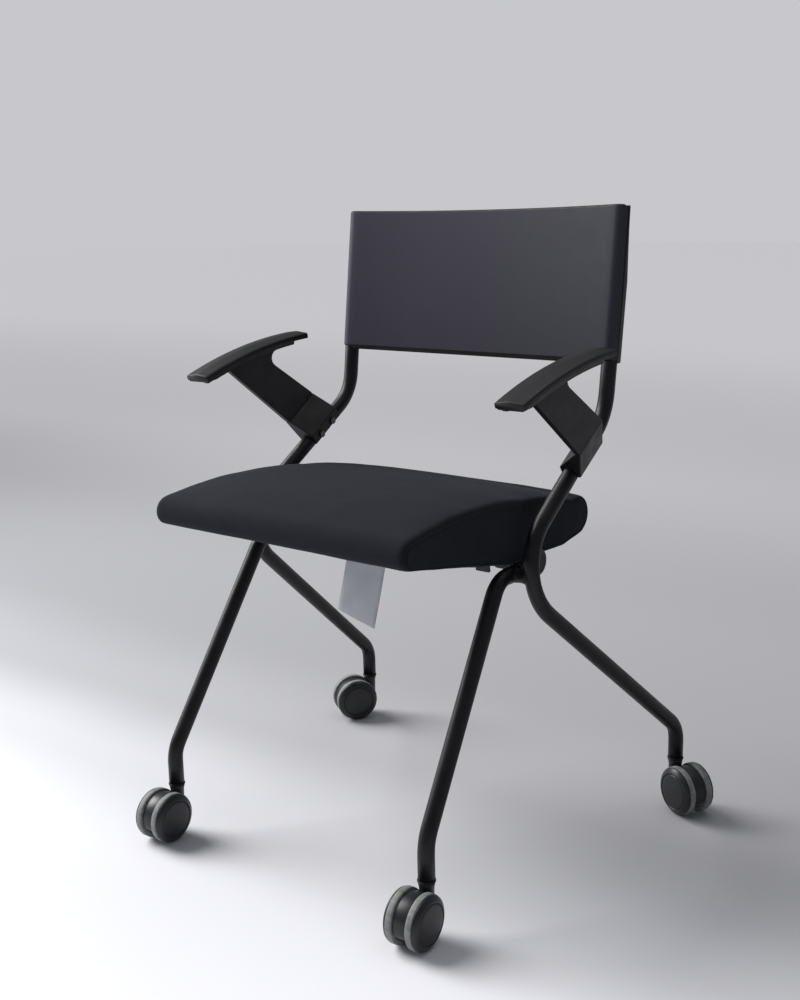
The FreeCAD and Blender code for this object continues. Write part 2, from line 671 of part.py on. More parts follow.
def chair():
    nodes = {}

    def pair(name, shape):
        nodes[name + "_left"] = shape
        nodes[name + "_right"] = mirrored(shape)

    def both(shapes):
        return Part.makeCompound(list(shapes) + [mirrored(one) for one in shapes])

    foot, rear_bend = side_tube_points()[:2]
    pair("side_tube", opened(side_tube(), foot, rear_bend))
    foot, front_bend = front_leg_points()[:2]
    pair("front_leg", opened(front_leg(), foot, front_bend))
    nodes["leg_bridges"] = both([leg_bridge()])
    nodes["pivot_knuckles"] = both([knuckle()])
    nodes["pivot_tube"] = pivot_tube()
    nodes["seat_stop_tabs"] = stop_tabs()
    nodes["seat_rest_pads"] = both([rest_pad()])

    pair("arm_bracket", arm_bracket())
    pair("arm_pad", arm_pad())
    nodes["arm_screws"] = both(arm_screws_left())
    nodes["back_shell"] = back_shell()
    nodes["back_screws"] = both(back_screws_left())

    pan = seat_pan()
    room = pivot_room()
    nodes["seat_cushion"] = seat_body().cut([pan, room])
    nodes["seat_pan"] = pan.cut(room)
    nodes["hinge_blocks"] = both([hinge_block()])
    nodes["hinge_bushes"] = both([hinge_bush()])
    nodes["hinge_screws"] = both(hinge_screws_left())
    nodes["hanging_tag"] = tag()

    nodes["caster_stems"] = Part.makeCompound([placed(caster_stem(), *place) for place in CASTERS.values()])
    for name, place in CASTERS.items():
        nodes["caster_hood_" + name] = placed(caster_hood(), *place)
        nodes["caster_axle_" + name] = placed(caster_axle(), *place)
        nodes["caster_wheel_" + name + "_a"] = placed(caster_wheel(1), *place)
        nodes["caster_wheel_" + name + "_b"] = placed(caster_wheel(-1), *place)
    return nodes


def main():
    os.makedirs("parts", exist_ok=True)
    for name, shape in chair().items():
        solids = shape.Solids
        if len(solids) == 1:
            shape = solids[0]
        print("%-32s solids %d  volume %10.1f  valid %s" % (name, len(solids), shape.Volume, shape.isValid()))
        shape.exportStep("parts/%s.step" % name)


main()
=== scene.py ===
"""Looks of the nesting chair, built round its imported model.

Shapes are written in millimetres in the model's frame and are scaled to metres when a mesh is made:
+Z is up, the sitter faces -Y, and the sitter's left hand is on +X. Left pieces are modelled first,
and right ones are their mirror image.
"""
import math

import bmesh
import bpy
from mathutils import Matrix, Quaternion, Vector, noise


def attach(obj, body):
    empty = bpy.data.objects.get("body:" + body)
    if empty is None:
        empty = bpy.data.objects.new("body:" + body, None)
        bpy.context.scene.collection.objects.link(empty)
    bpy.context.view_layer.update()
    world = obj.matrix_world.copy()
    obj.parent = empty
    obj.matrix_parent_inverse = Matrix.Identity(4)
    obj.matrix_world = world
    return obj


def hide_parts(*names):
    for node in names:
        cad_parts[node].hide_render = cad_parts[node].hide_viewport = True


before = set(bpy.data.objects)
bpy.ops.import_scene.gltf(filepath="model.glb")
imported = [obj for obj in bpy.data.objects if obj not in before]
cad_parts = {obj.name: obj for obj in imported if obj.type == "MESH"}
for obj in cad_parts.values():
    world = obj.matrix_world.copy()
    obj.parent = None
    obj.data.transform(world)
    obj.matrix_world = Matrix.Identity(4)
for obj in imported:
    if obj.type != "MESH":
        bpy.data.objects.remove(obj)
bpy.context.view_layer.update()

MM = 0.001
ACROSS = Vector((1, 0, 0))
UP = Vector((0, 0, 1))


def vec(x, y, z):
    return Vector((x, y, z))


# sizes shared with the solids, in millimetres

TUBE_R = 10.0
STEM_Y = 232.5
FRONT_STEM_X = 211.0
REAR_STEM_X = 275.0
TUBE_END_Z = 69.0
REAR_BEND = vec(REAR_STEM_X, STEM_Y, 112.5)
KNEE = vec(224.7, -89.7, 385.6)
SHOULDER = vec(214.0, 138.0, 545.0)
LEAN = math.radians(7.1)
SPLAY = 2.0 / 252.0
SIDE_RADII = (42.0, 72.0, 68.0)
FRONT_BEND = vec(FRONT_STEM_X, -STEM_Y, 114.0)
HIP = vec(196.0, -70.0, 376.0)
FRONT_RADII = (60.0, 38.0)
PIVOT_Y, PIVOT_Z = -1.0, 384.0
KNUCKLE_R = 17.0
KNUCKLE_X = (185.0, 208.0)

SEAT_HALF_WIDTH = 202.0
SEAT_Y = (-251.0, 127.0)
SEAT_BASE_Z = 388.0
SEAT_THICK = 76.0
SEAT_CROWN = 9.0
SEAT_EDGE_R = 9.0
SIDE_DRAW_IN = 3.5
PUFF_PRESSURE, PUFF_TENSION, PUFF_FRAMES, PUFF_CAP = 4.0, 60.0, 20, 2.0
UNDERSIDE_LIFT = 0.5        # of the cover over the pan's lower face

PAD_X = (230.0, 270.0)
PAD_FRONT, PAD_MID, PAD_BACK = (-125.0, 596.0), (-20.0, 626.5), (83.0, 638.5)
PAD_END_Y = 70.0
PAD_THICK = 9.0
BASE_THICK = 5.0
BASE_END_Y = 45.0
PLATE_X = (236.0, 244.0)
PLATE_SLOPE = math.radians(35.0)
PLATE_DEEP = 54.0
PLATE_FRONT_Y = -76.0
CLAMP_Z = 480.0
CLAMP_LOW, CLAMP_LONG = 8.0, 62.0
CLAMP_RISE, CLAMP_SKIRT, CLAMP_WALL = 35.0, 5.0, 2.6

SHELL_BOTTOM_Z = 609.5
SHELL_HIGH = 196.0
SHELL_THICK = 3.5
SHELL_HOLLOW = 22.0
LIP_DEEP = 9.0
HEM_DEEP = 6.0
SLEEVE_WALL = 2.2

WHEEL_R = 32.5
WHEEL_INNER, WHEEL_SQUEEZE = 9.3, 0.87
AXLE_R, AXLE_HALF = 3.0, 23.0
TRAIL = 26.0
HOOD_R = 30.0
HOOD_HALF = 8.7
COLLAR_R, COLLAR_HIGH = 10.8, 2.5
CASTERS = {
    "front_left": (1, -1, 274.0),
    "front_right": (-1, -1, 273.0),
    "rear_left": (1, 1, 335.0),
    "rear_right": (-1, 1, 237.0),
}

TAG_X, TAG_Y = -37.0, -29.7
TAG_WIDE, TAG_LONG = 66.0, 122.0
TAG_TILT = math.radians(14.0)

UPRIGHT = vec(SPLAY, math.tan(LEAN), 1.0).normalized()
SLEEVE_FOOT = SHOULDER + UPRIGHT * ((SHELL_BOTTOM_Z - SHOULDER.z) / UPRIGHT.z)


# materials

class Look:
    """A procedural material on one Principled shader, patterned in the piece's own coordinates."""

    def __init__(self, name, color, roughness, **sockets):
        self.material = bpy.data.materials.new(name)
        self.material.use_nodes = True
        self.tree = self.material.node_tree
        self.shader = next(node for node in self.tree.nodes if node.type == "BSDF_PRINCIPLED")
        self.shader.inputs["Base Color"].default_value = (*color, 1.0)
        self.shader.inputs["Roughness"].default_value = roughness
        for socket, value in sockets.items():
            self.shader.inputs[socket.replace("_", " ")].default_value = value
        self.place = self.add("ShaderNodeTexCoord").outputs["Object"]

    def add(self, kind, inputs=None, **settings):
        node = self.tree.nodes.new(kind)
        for setting, value in settings.items():
            setattr(node, setting, value)
        for socket, value in (inputs or {}).items():
            if isinstance(value, bpy.types.NodeSocket):
                self.tree.links.new(value, node.inputs[socket])
            else:
                node.inputs[socket].default_value = value
        return node

    def noise(self, scale, detail=2.0, roughness=0.5):
        return self.add("ShaderNodeTexNoise", {"Vector": self.place, "Scale": scale, "Detail": detail,
                                               "Roughness": roughness}).outputs["Fac"]

    def math(self, operation, first, second):
        return self.add("ShaderNodeMath", {0: first, 1: second}, operation=operation).outputs[0]

    def spread(self, value, low, high, to_low=0.0, to_high=1.0):
        """Maps the range low to high of a value onto another range, clamped."""
        return self.add("ShaderNodeMapRange", {0: value, 1: low, 2: high, 3: to_low, 4: to_high}).outputs[0]

    def stretched_noise(self, scale):
        """Noise with its own scale along each axis, as threads have."""
        mapping = self.add("ShaderNodeMapping", {"Vector": self.place, "Scale": scale})
        return self.add("ShaderNodeTexNoise", {"Vector": mapping.outputs[0], "Scale": 1.0,
                                               "Detail": 2.0}).outputs["Fac"]

    def color_between(self, share, first, second):
        """Runs the base colour from one value to another."""
        mix = self.add("ShaderNodeMix", data_type="RGBA")
        self.tree.links.new(share, mix.inputs[0])
        mix.inputs[6].default_value = (*first, 1.0)
        mix.inputs[7].default_value = (*second, 1.0)
        self.tree.links.new(mix.outputs[2], self.shader.inputs["Base Color"])
        return mix.outputs[2]

    def color_over(self, share, below, above):
        """Lays a colour over what the base colour was."""
        mix = self.add("ShaderNodeMix", data_type="RGBA")
        self.tree.links.new(share, mix.inputs[0])
        self.tree.links.new(below, mix.inputs[6])
        mix.inputs[7].default_value = (*above, 1.0)
        self.tree.links.new(mix.outputs[2], self.shader.inputs["Base Color"])

    def roughness_between(self, share, low, high):
        self.tree.links.new(self.spread(share, 0.3, 0.7, low, high), self.shader.inputs["Roughness"])

    def bump(self, height, distance, strength=1.0):
        node = self.add("ShaderNodeBump", {"Height": height, "Distance": distance, "Strength": strength})
        self.tree.links.new(node.outputs[0], self.shader.inputs["Normal"])


def powder_coat():
    """Fine orange-peel paint on steel tube, with faint dust and handling marks."""
    look = Look("powder_coat", (0.007, 0.007, 0.009), 0.42, Specular_IOR_Level=0.28)
    grain = look.noise(1800.0, 2.0)
    patches = look.noise(35.0, 3.0, 0.6)
    look.color_between(look.spread(patches, 0.35, 0.7), (0.003, 0.003, 0.004), (0.008, 0.008, 0.011))
    look.roughness_between(patches, 0.34, 0.48)
    look.bump(grain, 0.00012, 0.55)
    return look.material


def moulded_plastic(name, dark, light, roughness, gloss=0.3, grain_scale=1400.0, grain_depth=0.00008):
    """Injection-moulded plastic: fine spark-eroded grain, faint flow clouds, uneven gloss."""
    look = Look(name, light, roughness, Specular_IOR_Level=gloss)
    clouds = look.noise(14.0, 4.0, 0.6)
    look.color_between(look.spread(clouds, 0.3, 0.7), dark, light)
    look.roughness_between(look.noise(60.0, 3.0), roughness - 0.05, roughness + 0.07)
    look.bump(look.noise(grain_scale, 2.0), grain_depth, 0.5)
    return look.material


def back_plastic():
    """Matte moulding, with painted shading from a lighter purple grey at -X to a darker blue grey at +X."""
    look = Look("back_plastic", (0.034, 0.033, 0.046), 0.52, Specular_IOR_Level=0.22)
    clouds = look.noise(14.0, 4.0, 0.6)
    # painted shading along X: the colour is lighter at -X and darker at +X, as light falls across the panel
    along = look.add("ShaderNodeSeparateXYZ", {0: look.place}).outputs[0]
    share = look.math("ADD", look.spread(along, -0.12, 0.24), look.math("MULTIPLY", clouds, 0.25))
    look.color_between(look.spread(share, 0.12, 1.12), (0.045, 0.040, 0.060), (0.021, 0.024, 0.031))
    look.roughness_between(look.noise(60.0, 3.0), 0.48, 0.6)
    look.bump(look.noise(1400.0, 2.0), 0.00008, 0.5)
    return look.material


def upholstery():
    """Close plain weave of crossed threads, worn lighter where people sit, with a few specks of lint."""
    look = Look("upholstery", (0.012, 0.013, 0.018), 0.9, Sheen_Weight=0.06, Sheen_Roughness=0.5,
                Sheen_Tint=(0.7, 0.78, 1.0, 1.0), Specular_IOR_Level=0.14)
    threads = [look.stretched_noise(scale) for scale in ((260, 2400, 2400), (2400, 260, 900))]
    weave = look.math("ADD", threads[0], threads[1])
    nap = look.noise(9.0, 5.0, 0.65)
    fuzz = look.noise(900.0, 3.0, 0.7)
    shade = look.math("ADD", look.math("MULTIPLY", nap, 0.55), look.math("MULTIPLY", weave, 0.22))
    dark, light = (0.0036, 0.0039, 0.0056), (0.0115, 0.0125, 0.0175)
    wear = look.color_between(look.spread(shade, 0.36, 0.62), dark, light)
    specks = look.add("ShaderNodeTexVoronoi", {"Vector": look.place, "Scale": 14.0}).outputs["Distance"]
    look.color_over(look.spread(specks, 0.008, 0.011, 1.0, 0.0), wear, (0.12, 0.11, 0.1))
    look.roughness_between(nap, 0.82, 0.97)
    look.bump(look.math("ADD", weave, look.math("MULTIPLY", fuzz, 0.8)), 0.0004, 0.7)
    return look.material


def tread_material():
    """Soft grey running tread, scuffed and dusty."""
    look = Look("wheel_tread", (0.3, 0.3, 0.29), 0.6)
    scuffs = look.noise(160.0, 5.0, 0.7)
    look.color_between(look.spread(scuffs, 0.35, 0.7), (0.15, 0.155, 0.155), (0.30, 0.30, 0.29))
    look.roughness_between(scuffs, 0.5, 0.75)
    look.bump(scuffs, 0.0003, 0.4)
    return look.material


def blackened_steel():
    look = Look("blackened_steel", (0.10, 0.10, 0.105), 0.42, Metallic=1.0)
    marks = look.noise(220.0, 4.0)
    look.color_between(marks, (0.07, 0.07, 0.075), (0.14, 0.14, 0.145))
    look.roughness_between(marks, 0.35, 0.5)
    look.bump(marks, 0.0001, 0.4)
    return look.material


def strip_material():
    """Milky flexible plastic of the blank strip."""
    look = Look("milky_strip", (0.3, 0.32, 0.34), 0.45, Transmission_Weight=0.12)
    clouds = look.noise(22.0, 3.0)
    look.color_between(look.spread(clouds, 0.3, 0.7), (0.34, 0.36, 0.385), (0.45, 0.475, 0.50))
    look.roughness_between(clouds, 0.38, 0.55)
    look.bump(look.noise(45.0, 2.0), 0.0006, 0.5)
    return look.material


COAT = powder_coat()
FABRIC = upholstery()
SHELL = back_plastic()
ARM = moulded_plastic("arm_plastic", (0.005, 0.0052, 0.006), (0.009, 0.0095, 0.011), 0.44)
CASTER = moulded_plastic("caster_plastic", (0.013, 0.0135, 0.016), (0.024, 0.025, 0.030), 0.36, 0.4)
DARK_PLASTIC_AND_PAINTED_SHADE = moulded_plastic("dark_plastic_and_painted_shade", (0.003, 0.003, 0.0035), (0.006, 0.006, 0.007), 0.6)
GREY = moulded_plastic("grey_plastic", (0.022, 0.023, 0.026), (0.036, 0.037, 0.041), 0.5)
PALE = moulded_plastic("bush_plastic", (0.55, 0.55, 0.52), (0.68, 0.68, 0.65), 0.4)
RUBBER = moulded_plastic("rubber", (0.008, 0.008, 0.008), (0.014, 0.014, 0.014), 0.8)
TREAD = tread_material()
STEEL = blackened_steel()
STRIP = strip_material()

NODE_LOOKS = {
    "seat_stop_tabs": COAT, "pivot_tube": COAT, "seat_rest_pads": RUBBER, "seat_pan": DARK_PLASTIC_AND_PAINTED_SHADE,
    "hinge_blocks": DARK_PLASTIC_AND_PAINTED_SHADE, "hinge_bushes": PALE, "hinge_screws": STEEL, "arm_screws": STEEL,
    "back_screws": STEEL,
}


def dress_nodes():
    for name, look in NODE_LOOKS.items():
        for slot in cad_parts[name].material_slots:
            slot.material = look


# meshes

def new_piece(name, points, faces, body, looks, replaces=(), face_looks=None):
    """Makes a mesh from points in millimetres, gives it its looks, smooths it, and ties it to its body."""
    mesh = bpy.data.meshes.new(name)
    mesh.from_pydata([point * MM for point in points], [], faces)
    for look in looks:
        mesh.materials.append(look)
    if face_looks:
        mesh.polygons.foreach_set("material_index", face_looks)
    tidy = bmesh.new()
    tidy.from_mesh(mesh)
    bmesh.ops.remove_doubles(tidy, verts=tidy.verts, dist=0.00001)
    bmesh.ops.recalc_face_normals(tidy, faces=tidy.faces)
    tidy.to_mesh(mesh)
    tidy.free()
    mesh.shade_smooth()
    piece = bpy.data.objects.new(name, mesh)
    bpy.context.scene.collection.objects.link(piece)
    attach(piece, body)
    if replaces:
        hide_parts(*replaces)
    return piece


def settle(piece):
    """Writes the piece's modifiers into its mesh."""
    evaluated = piece.evaluated_get(bpy.context.evaluated_depsgraph_get())
    mesh = bpy.data.meshes.new_from_object(evaluated)
    piece.modifiers.clear()
    piece.data = mesh
    return piece


def bevelled(piece, width, segments=3, angle=30.0):
    """Rounds the piece's sharp edges and keeps its flat faces flat."""
    modifier = piece.modifiers.new("bevel", "BEVEL")
    modifier.width = width * MM
    modifier.segments = segments
    modifier.limit_method = "ANGLE"
    modifier.angle_limit = math.radians(angle)
    modifier.harden_normals = True
    return settle(piece)


def loft_faces(rings, size, cap_start=True, cap_end=True):
    faces = []
    for ring in range(rings - 1):
        for k in range(size):
            here, after = ring * size + k, ring * size + (k + 1) % size
            faces.append((here, after, after + size, here + size))
    if cap_start:
        faces.append(tuple(reversed(range(size))))
    if cap_end:
        faces.append(tuple(range((rings - 1) * size, rings * size)))
    return faces


def loft(name, rings, body, looks, replaces=(), caps=(True, True)):
    points = [point for ring in rings for point in ring]
    return new_piece(name, points, loft_faces(len(rings), len(rings[0]), *caps), body, looks, replaces)


def mirror_rings(rings):
    return [[vec(-point.x, point.y, point.z) for point in ring] for ring in rings]


CORNER_POINTS = 6


def rounded(points, radii, steps=CORNER_POINTS - 1):
    """Closed flat outline with its corners rounded. Points and results are (a, b) pairs."""
    outline = []
    for index, (corner, radius) in enumerate(zip(points, radii)):
        corner = Vector(corner)
        before = Vector(points[index - 1]) - corner
        after = Vector(points[(index + 1) % len(points)]) - corner
        half = before.angle(after) / 2
        cut = min(radius / math.tan(half), 0.49 * before.length, 0.49 * after.length)
        centre = corner + (before.normalized() + after.normalized()).normalized() * (cut / math.cos(half))
        start = corner + before.normalized() * cut - centre
        end = corner + after.normalized() * cut - centre
        turn = start.angle_signed(end)
        for step in range(steps + 1):
            angle = -turn * step / steps
            spun = Vector((start.x * math.cos(angle) - start.y * math.sin(angle),
                           start.x * math.sin(angle) + start.y * math.cos(angle)))
            outline.append(centre + spun)
    return outline


def arc_points(start, middle, end, count):
    """Points from start to end on the circle through three flat points."""
    (ax, ay), (bx, by), (cx, cy) = start, middle, end
    d = 2 * (ax * (by - cy) + bx * (cy - ay) + cx * (ay - by))
    sa, sb, sc = ax * ax + ay * ay, bx * bx + by * by, cx * cx + cy * cy
    centre = Vector(((sa * (by - cy) + sb * (cy - ay) + sc * (ay - by)) / d,
                     (sa * (cx - bx) + sb * (ax - cx) + sc * (bx - ax)) / d))
    radius = (Vector(start) - centre).length
    angles = [math.atan2(y - centre.y, x - centre.x) for x, y in (start, middle, end)]
    turn = (angles[2] - angles[0]) % (2 * math.pi)
    if (angles[1] - angles[0]) % (2 * math.pi) > turn:
        turn -= 2 * math.pi
    return [centre + radius * Vector((math.cos(angles[0] + turn * k / count),
                                      math.sin(angles[0] + turn * k / count))) for k in range(count + 1)]


# tubes

def bend_path(corners, radii, step=4.0):
    """Stops along runs and bends: point, heading, way to the bend's centre, bend, share of the bend."""
    heading = (corners[1] - corners[0]).normalized()
    stops = [(corners[0], heading, None, 0, 0.0)]
    for bend, (corner, after, radius) in enumerate(zip(corners[1:-1], corners[2:], radii)):
        onward = (after - corner).normalized()
        turn = heading.angle(onward)
        start = corner - heading * radius * math.tan(turn / 2)
        axis = heading.cross(onward).normalized()
        centre = start + axis.cross(heading) * radius
        count = math.ceil(math.degrees(turn) / step)
        for k in range(count + 1):
            spin = Quaternion(axis, turn * k / count)
            at = centre + spin @ (start - centre)
            stops.append((at, spin @ heading, (centre - at).normalized(), bend, k / count))
        heading = onward
    stops.append((corners[-1], heading, None, 0, 0.0))
    return stops


def tube_rings(stops, radius, flattening, sides=40):
    """Rings round the stops. A bend's inner side is flattened by its share of the radius at mid-bend."""
    rings = []
    side = ACROSS
    for at, heading, to_centre, bend, share in stops:
        side = (side - heading * side.dot(heading)).normalized()
        other = heading.cross(side)
        ring = []
        for k in range(sides):
            angle = 2 * math.pi * k / sides
            off = side * math.cos(angle) + other * math.sin(angle)
            if to_centre is not None:
                inner = max(0.0, off.dot(to_centre))
                off = off - to_centre * (inner * flattening[bend] * math.sin(math.pi * share) ** 2)
            ring.append(at + off * radius)
        rings.append(ring)
    return rings


def tubes():
    top = SLEEVE_FOOT + UPRIGHT * 92.0
    foot = vec(REAR_STEM_X, STEM_Y, TUBE_END_Z)
    path = bend_path([foot, REAR_BEND, KNEE, SHOULDER, top], SIDE_RADII)
    side = tube_rings(path, TUBE_R, (0.12, 0.42, 0.1))
    foot = vec(FRONT_STEM_X, -STEM_Y, TUBE_END_Z)
    end = vec(HIP.x, PIVOT_Y - KNUCKLE_R + 2.0, HIP.z)
    front = tube_rings(bend_path([foot, FRONT_BEND, HIP, end], FRONT_RADII), TUBE_R, (0.1, 0.2))
    for word, turn_over in (("left", list), ("right", mirror_rings)):
        loft("tube_" + word, turn_over(side), "chair_frame", [COAT], ["side_tube_" + word])
        loft("leg_" + word, turn_over(front), "chair_frame", [COAT], ["front_leg_" + word])


def lathe_rings(profile, start, along, sides=48):
    """Rings round an axis from (distance along it, radius) pairs."""
    side = along.orthogonal().normalized()
    other = along.cross(side)
    rings = []
    for distance, radius in profile:
        centre = start + along * distance
        rings.append([centre + (side * math.cos(2 * math.pi * k / sides)
                                + other * math.sin(2 * math.pi * k / sides)) * radius for k in range(sides)])
    return rings


def bridges_and_knuckles():
    """Waisted weld bridge between leg and knee, and the grey closed cup at the seat's pivot."""
    half_angle = (REAR_BEND - KNEE).angle(SHOULDER - KNEE) / 2
    y = KNEE.y + SIDE_RADII[1] * (1 / math.sin(half_angle) - 1)
    start = vec(HIP.x + 6.0, y, HIP.z + 1.5)
    waist = [(0.0, 9.4), (3.0, 9.3), (5.5, 8.9), (8.0, 8.5), (12.0, 8.4), (15.0, 8.8), (18.0, 9.4),
             (21.0, 9.4)]
    bridge = lathe_rings(waist, start, ACROSS, 32)
    low, high = KNUCKLE_X
    cup = [(0.0, 10.6), (0.0, 15.6), (0.5, 16.6), (1.4, KNUCKLE_R), (high - low - 1.6, KNUCKLE_R),
           (high - low - 0.5, 16.5), (high - low, 15.2), (high - low, 12.0), (high - low - 0.5, 11.4),
           (high - low - 0.5, 0.01)]
    knuckle = lathe_rings(cup, vec(low, PIVOT_Y, PIVOT_Z), ACROSS)
    for word, turn_over, replaced in (("left", list, True), ("right", mirror_rings, False)):
        loft("bridge_" + word, turn_over(bridge), "chair_frame", [COAT],
             ["leg_bridges"] if replaced else [])
        loft("knuckle_" + word, turn_over(knuckle), "chair_frame", [GREY],
             ["pivot_knuckles"] if replaced else [])


# seat

def seat_side_view(x, shrink, crown, count):
    """Top and bottom lines of the seat at x, both from the nose to the back, as (y, z) pairs."""
    length = SEAT_Y[1] - SEAT_Y[0]
    middle = Vector(((SEAT_Y[0] + SEAT_Y[1]) / 2, SEAT_BASE_Z + SEAT_THICK / 2))

    def at(share_y, share_z, lift=0.0):
        point = Vector((SEAT_Y[0] + share_y * length, SEAT_BASE_Z + share_z * SEAT_THICK))
        point.x += (middle.x - point.x) * 2 * shrink / length
        point.y += (middle.y - point.y) * 2 * shrink / SEAT_THICK + lift * crown
        return point

    nose = arc_points(at(0.022, 0.49), at(0, 0.72), at(0.035, 0.93, 0.3), 24)
    deck = arc_points(at(0.035, 0.93, 0.3), at(0.30, 1.07, 1.0), at(0.66, 0.97, 1.0), 80)
    slope = arc_points(at(0.66, 0.97, 1.0), at(0.79, 0.89, 0.8), at(0.905, 0.75, 0.4), 40)
    back = arc_points(at(0.905, 0.75, 0.4), at(1, 0.40), at(0.965, 0.14), 32)
    split = 12
    top = nose[split:] + deck[1:] + slope[1:] + back[1:17]
    bottom = nose[:split + 1][::-1] + [at(0.53, 0), at(0.85, 0)] + back[16:][::-1]
    return even_points(top, count), even_points(bottom, count)


def even_points(points, count):
    """The same line with evenly spaced points."""
    lengths = [0.0]
    for before, after in zip(points[:-1], points[1:]):
        lengths.append(lengths[-1] + (after - before).length)
    line = []
    index = 0
    for k in range(count + 1):
        goal = lengths[-1] * k / count
        while index < len(points) - 2 and lengths[index + 1] < goal:
            index += 1
        span = lengths[index + 1] - lengths[index]
        line.append(points[index].lerp(points[index + 1], (goal - lengths[index]) / span))
    return line


def cushion_mesh(count=84, rows=9):
    """Closed grid over the cushion: rings across the seat, and a ladder of rows over each side."""
    flat = SEAT_HALF_WIDTH - SEAT_EDGE_R
    half = [flat * k / 16 for k in range(1, 17)]
    half += [flat + SEAT_EDGE_R * math.sin(math.radians(turn)) for turn in (20, 40, 60, 78, 90)]
    stations = [-x for x in reversed(half)] + [0.0] + half
    points, faces = [], []
    size = 2 * count
    for x in stations:
        into = max(0.0, abs(x) - flat) / SEAT_EDGE_R
        shrink = SEAT_EDGE_R * (1 - math.sqrt(max(0.0, 1 - into ** 2))) * 0.62
        crown = SEAT_CROWN * (1 - (x / SEAT_HALF_WIDTH) ** 2)
        top, bottom = seat_side_view(x, shrink, crown, count)
        ring = top + bottom[1:-1][::-1]
        points += [vec(x, point.x, point.y) for point in ring]
    faces += loft_faces(len(stations), size, False, False)
    for end in (0, len(stations) - 1):
        ladder = [[end * size + k] for k in range(count + 1)]
        for k in range(1, count):
            top, bottom = points[end * size + k], points[end * size + size - k]
            for row in range(1, rows):
                ladder[k].append(len(points))
                points.append(top.lerp(bottom, row / rows))
            ladder[k].append(end * size + size - k)
        for k in range(count):
            left, right = ladder[k], ladder[k + 1]
            if len(left) == 1:
                faces += [(left[0], right[row + 1], right[row]) for row in range(rows)]
            elif len(right) == 1:
                faces += [(left[row], left[row + 1], right[0]) for row in range(rows)]
            else:
                faces += [(left[row], left[row + 1], right[row + 1], right[row]) for row in range(rows)]
    reach = 0.42 * (SEAT_Y[1] - SEAT_Y[0])
    middle = (SEAT_Y[0] + SEAT_Y[1]) / 2
    for point in points:
        draw_in = SIDE_DRAW_IN * max(0.0, 1 - ((point.y - middle) / reach) ** 2)
        point.x *= 1 - draw_in / SEAT_HALF_WIDTH
    seam = [end * size + k for end in (0, len(stations) - 1) for k in range(size)]
    return points, faces, seam


def puff(piece, cap):
    """Lets the cover swell under pressure for a few frames, and caps how far each point moves."""
    before = [vertex.co.copy() for vertex in piece.data.vertices]
    cloth = piece.modifiers.new("puff", "CLOTH")
    cloth.settings.use_pressure = True
    cloth.settings.uniform_pressure_force = PUFF_PRESSURE
    cloth.settings.tension_stiffness = PUFF_TENSION
    cloth.settings.effector_weights.gravity = 0.0
    scene = bpy.context.scene
    for number in range(1, PUFF_FRAMES + 1):
        scene.frame_set(number)
    after = piece.evaluated_get(bpy.context.evaluated_depsgraph_get()).data
    swollen = [vertex.co.copy() for vertex in after.vertices]
    piece.modifiers.clear()
    scene.frame_set(1)
    for vertex, old, new in zip(piece.data.vertices, before, swollen):
        move = new - old
        limit = cap * MM
        if old.z < (SEAT_BASE_Z + 12.0) * MM:
            limit *= 0.15
        if move.length > limit:
            move *= limit / move.length
        vertex.co = old + move


def cushion():
    points, faces, seam = cushion_mesh()
    piece = new_piece("seat_cover", points, faces, "tip_up_seat", [FABRIC], ["seat_cushion"])
    group = piece.vertex_groups.new(name="seam")
    on_seam = {tuple(round(value, 2) for value in points[index]) for index in seam}
    group.add([vertex.index for vertex in piece.data.vertices
               if tuple(round(value / MM, 2) for value in vertex.co) in on_seam], 1.0, "REPLACE")
    puff(piece, PUFF_CAP)
    subdivision = piece.modifiers.new("subdivision", "SUBSURF")
    subdivision.levels = subdivision.render_levels = 1
    settle(piece)
    for vertex in piece.data.vertices:
        co = vertex.co / MM
        ripple = noise.noise(co / 38.0) * 0.5 + noise.noise(co / 13.0) * 0.12
        depth = sum(link.weight for link in vertex.groups)
        vertex.co += vertex.normal * (ripple - 1.1 * depth) * MM
        vertex.co.z = max(vertex.co.z, (SEAT_BASE_Z + UNDERSIDE_LIFT) * MM)
    piece.data.shade_smooth()
    return piece


# arms

def arch(offset, y_end=None):
    """Points on the pad's arched line, lowered by an offset, from its front to its back or to a given y."""
    line = arc_points(PAD_FRONT, PAD_MID, PAD_BACK, 48)
    lowered = []
    for index, point in enumerate(line):
        ahead = line[min(index + 1, len(line) - 1)] - line[max(index - 1, 0)]
        normal = Vector((-ahead.y, ahead.x)).normalized()
        lowered.append(point - normal * offset)
    if y_end is not None:
        lowered = [point for point in lowered if point.x < y_end] + [at_y(lowered, y_end)]
    return lowered


def at_y(line, y):
    """Point of a (y, z) line at a given y."""
    for before, after in zip(line[:-1], line[1:]):
        if before.x <= y <= after.x:
            return before.lerp(after, (y - before.x) / (after.x - before.x))
    return line[-1] if y > line[-1].x else line[0]


